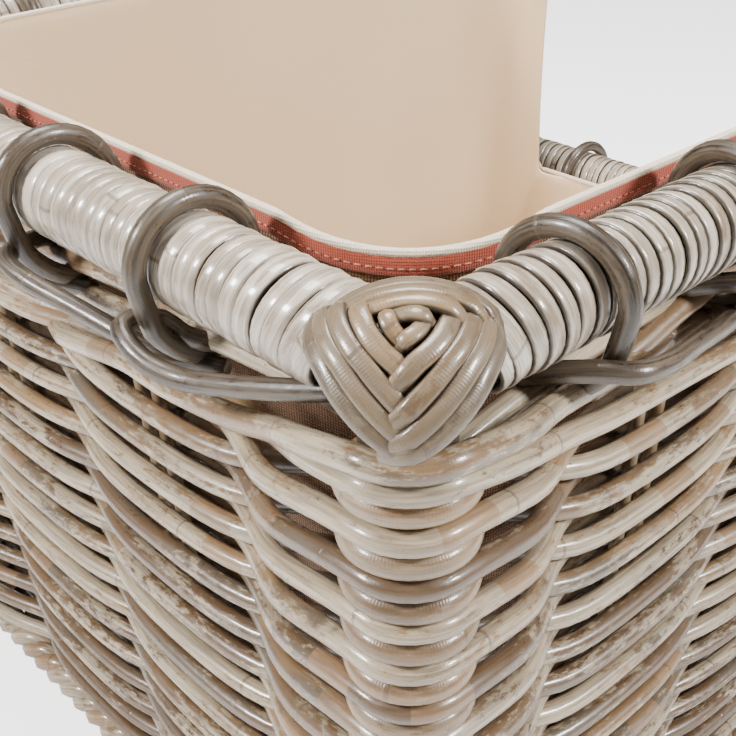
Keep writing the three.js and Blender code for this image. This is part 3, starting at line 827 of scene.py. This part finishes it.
def roundedLine(halfX, halfY, corner, step):
    # a rectangle with rounded corners: its points, their outward normals and the run so far
    points = []
    for sx, sy, start in ((1, -1, -90), (1, 1, 0), (-1, 1, 90), (-1, -1, 180)):
        a = np.radians(start + np.linspace(0, 90, max(3, int(corner * 1.57 / step) + 1)))
        points.append(np.stack([sx * (halfX - corner) + corner * np.cos(a),
                                sy * (halfY - corner) + corner * np.sin(a)], 1))
    outline = np.vstack(points + [points[0][:1]])
    run = np.concatenate([[0], np.cumsum(np.linalg.norm(np.diff(outline, axis=0), axis=1))])
    even = np.linspace(0, run[-1], int(run[-1] / step), endpoint=False)
    line = np.stack([np.interp(even, run, outline[:, 0]), np.interp(even, run, outline[:, 1])], 1)
    side = np.roll(line, -1, 0) - np.roll(line, 1, 0)
    side /= np.linalg.norm(side, axis=1, keepdims=True)
    return line, np.stack([side[:, 1], -side[:, 0]], 1), even


# foot rim: three canes twisted together, with two plain ones inside
foot = dict(halfX=226.0, halfY=270.0, corner=26.0, step=4.0, z=10.0, strand=5.2, twist=4.6, lay=52.0,
            insets=(14.0, 23.0), innerCorner=22.0, innerStep=8.0, innerZ=14.5, innerRadius=5.0)
line, normal, run = roundedLine(foot["halfX"], foot["halfY"], foot["corner"], foot["step"])
turns = round(run[-1] / foot["lay"])
strands = []
for k in range(3):
    phase = run / (run[-1] + foot["step"]) * turns * 2 * np.pi + k * 2 * np.pi / 3
    out = foot["twist"] * np.cos(phase)
    path = np.column_stack([line + normal * out[:, None], foot["z"] + foot["twist"] * np.sin(phase)])
    strands.append(dict(path=leaned(path), r=foot["strand"], closed=True, seed=rng.random()))
for inset in foot["insets"]:
    line, normal, run = roundedLine(foot["halfX"] - inset, foot["halfY"] - inset, foot["innerCorner"],
                                    foot["innerStep"])
    path = np.column_stack([line, np.full(len(line), foot["innerZ"])])
    strands.append(dict(path=leaned(path), r=foot["innerRadius"], closed=True, seed=rng.random()))
addCanes("footRim", strands, 8, weaveCane, replaces=["foot_rim"])

# woven base: sticks from front to back, with weavers over and under them
base = dict(z=25.3, halfX=206, halfY=250, sticks=7, sticksTo=150, stick=3.0, stickPoints=12,
            radius=2.9, pitch=7.6, weaveTo=244, wave=2.1, points=43)
rods = []
sticks = np.linspace(-base["sticksTo"], base["sticksTo"], base["sticks"])
for x in sticks:
    y = np.linspace(-base["halfY"], base["halfY"], base["stickPoints"])
    path = np.column_stack([np.full(len(y), x), y, np.full(len(y), base["z"])])
    rods.append(dict(path=leaned(path), r=base["stick"], seed=rng.random()))
for i, y in enumerate(np.arange(-base["weaveTo"], base["weaveTo"] + 1, base["pitch"])):
    x = np.linspace(-base["halfX"], base["halfX"], base["points"])
    wave = np.cos(np.pi * (x - sticks[0]) / (sticks[1] - sticks[0])) * (1 if i % 2 else -1)
    path = np.column_stack([x, np.full(len(x), y), base["z"] + base["wave"] * wave])
    rods.append(dict(path=leaned(path), r=base["radius"], seed=rng.random()))
addCanes("basePanel", rods, 6, weaveCane, replaces=["base_panel"])
print("base woven")

# liner: a bag that hangs from its top edge, with a step down to the low front
liner = dict(inset=31.5, corner=55.0, spacing=7.0, floor=33.5, top=380.5, dip=10.5, dipReach=75.0,
             step=144.0, lowLevels=12, highLevels=14, cloth=2.6, puff=5.0, cornerFold=7.0)
trim = dict(edgeRadius=1.7, edgeOut=-0.5, tapeRadius=3.6, tapeOut=0.7, tapeBelow=4.4, tapeFlat=0.22,
            stitchRadius=0.27, stitchOut=1.75, stitchBelow=4.9, stitchLength=0.3)

line, normal, run = roundedLine(basket["halfX"] - liner["inset"], basket["halfY"] - liner["inset"],
                                liner["corner"], liner["spacing"])
atFront = (line[:, 1] < -basket["halfY"] + liner["inset"] + 20) & (np.abs(line[:, 0]) < liner["step"])
lowTop = liner["top"] - basket["drop"]
toCorner = np.hypot(basket["halfX"] - np.abs(line[:, 0]), basket["halfY"] - np.abs(line[:, 1]))
top = liner["top"] - liner["dip"] * np.clip(1.35 - toCorner / liner["dipReach"], 0, 1)  # sinks at the corners


def nearest(v):
    return int(np.argmin(((line - np.array(v.co[:2])) ** 2).sum(1)))


def pullUp(bm, edges, levels, low, high):
    # extrudes a row of edges upwards in even steps; high has a height for each point of the line
    for level in np.linspace(0, 1, levels + 1)[1:]:
        made = bmesh.ops.extrude_edge_only(bm, edges=edges)["geom"]
        fresh = {g: nearest(g) for g in made if isinstance(g, bmesh.types.BMVert)}
        for v, i in fresh.items():
            v.co.z = low + (high[i] - low) * level
        edges = [g for g in made if isinstance(g, bmesh.types.BMEdge)
                 and g.verts[0] in fresh and g.verts[1] in fresh]
    return edges, fresh


bm = bmesh.new()
bottom = [bm.verts.new((p[0], p[1], liner["floor"])) for p in line]
loop = [bm.edges.new((v, bottom[(i + 1) % len(bottom)])) for i, v in enumerate(bottom)]
bmesh.ops.triangle_fill(bm, edges=loop, use_beauty=True)
edges, fresh = pullUp(bm, loop, liner["lowLevels"], liner["floor"], np.full(len(line), lowTop))
upper = [e for e in edges if not (atFront[fresh[e.verts[0]]] and atFront[fresh[e.verts[1]]])]
pullUp(bm, upper, liner["highLevels"], lowTop, top)
bmesh.ops.recalc_face_normals(bm, faces=bm.faces)
for v in bm.verts:  # soft folds, deeper at the corners, in the part that hangs
    i = nearest(v)
    spot = np.array([[v.co.x, v.co.y, v.co.z]])
    hang = math.sin(math.pi * min(max((v.co.z - liner["floor"]) / (top[i] - liner["floor"]), 0), 1))
    near = math.exp(-((basket["halfX"] - abs(line[i, 0])) ** 2 + (basket["halfY"] - abs(line[i, 1])) ** 2)
                    / 9000.0)
    fold = liner["puff"] * hang * (0.6 * math.sin(run[i] / 47.0)
                                   + 0.4 * math.sin(run[i] / 23.0 + v.co.z / 60.0) - 0.5)
    fold -= liner["cornerFold"] * near * hang ** 0.5 * (0.5 + 0.5 * math.sin(run[i] / 9.0 + v.co.z / 45.0))
    if v.co.z > liner["floor"] + 2:
        spot = spot + np.array([[normal[i, 0], normal[i, 1], 0]]) * fold
    v.co = leaned(spot)[0] / 1000
mesh = bpy.data.meshes.new("linerBag")
bm.to_mesh(mesh)
bm.free()
linerBag = addPiece("linerBag", mesh, linerOutside, "liner", ["liner"])
mesh.materials.append(linerInside)
thick = linerBag.modifiers.new("cloth", "SOLIDIFY")
thick.thickness = liner["cloth"] / 1000
thick.offset = -1
thick.material_offset = 1
thick.material_offset_rim = 1
soften = linerBag.modifiers.new("soften", "SUBSURF")
soften.levels = soften.render_levels = 1


def edgeLine(out, below):
    # follows the liner's top, down the step and along the low front, this far out and below the edge
    count = len(line)
    startAt = int(np.argmax(atFront & ~np.roll(atFront, 1)))
    order = [(startAt + k) % count for k in range(count)]
    low = [i for i in order if atFront[i]]
    high = [i for i in order if not atFront[i]]
    points, normals = [], []

    def add(i, z, shift=0.0):
        points.append([line[i, 0] + normal[i, 0] * out - normal[i, 1] * shift,
                       line[i, 1] + normal[i, 1] * out + normal[i, 0] * shift, z])
        normals.append([normal[i, 0], normal[i, 1], 0])

    for i in low[1:-1] if below else low:
        add(i, lowTop - below)
    for z in np.arange(lowTop + 8 - below, top[high[0]] - 6 - below, 8.0):
        add(high[0], z, below)
    for i in high[1:-1] if below else high:
        add(i, top[i] - below)
    for z in np.arange(top[high[-1]] - 8 - below, lowTop + 4 - below, -8.0):
        add(high[-1], z, -below)
    return leaned(points), np.array(normals)


path, facing = edgeLine(trim["edgeOut"], 0.0)
linerEdge = addCanes("linerEdge", [dict(path=path, r=trim["edgeRadius"], closed=True, seed=0.3)], 10,
                     edgeCloth, "liner")
path, facing = edgeLine(trim["tapeOut"], trim["tapeBelow"])
linerTape = addCanes("linerTape", [dict(path=path, r=trim["tapeRadius"], closed=True, seed=0.6,
                                        normals=facing, flat=trim["tapeFlat"])], 10,
                     tapeCloth, "liner", ["liner_binding"])
path, facing = edgeLine(trim["stitchOut"], trim["stitchBelow"])
stitches = []
for a, b in zip(path, np.roll(path, -1, 0)):  # running stitches through the tape
    for share in (0.1, 0.6):
        ends = np.array([a + (b - a) * share, a + (b - a) * (share + trim["stitchLength"])])
        stitches.append(dict(path=ends, r=trim["stitchRadius"], seed=0.2))
linerStitch = addCanes("linerStitch", stitches, 6, threadCloth, "liner")
print("liner hung")
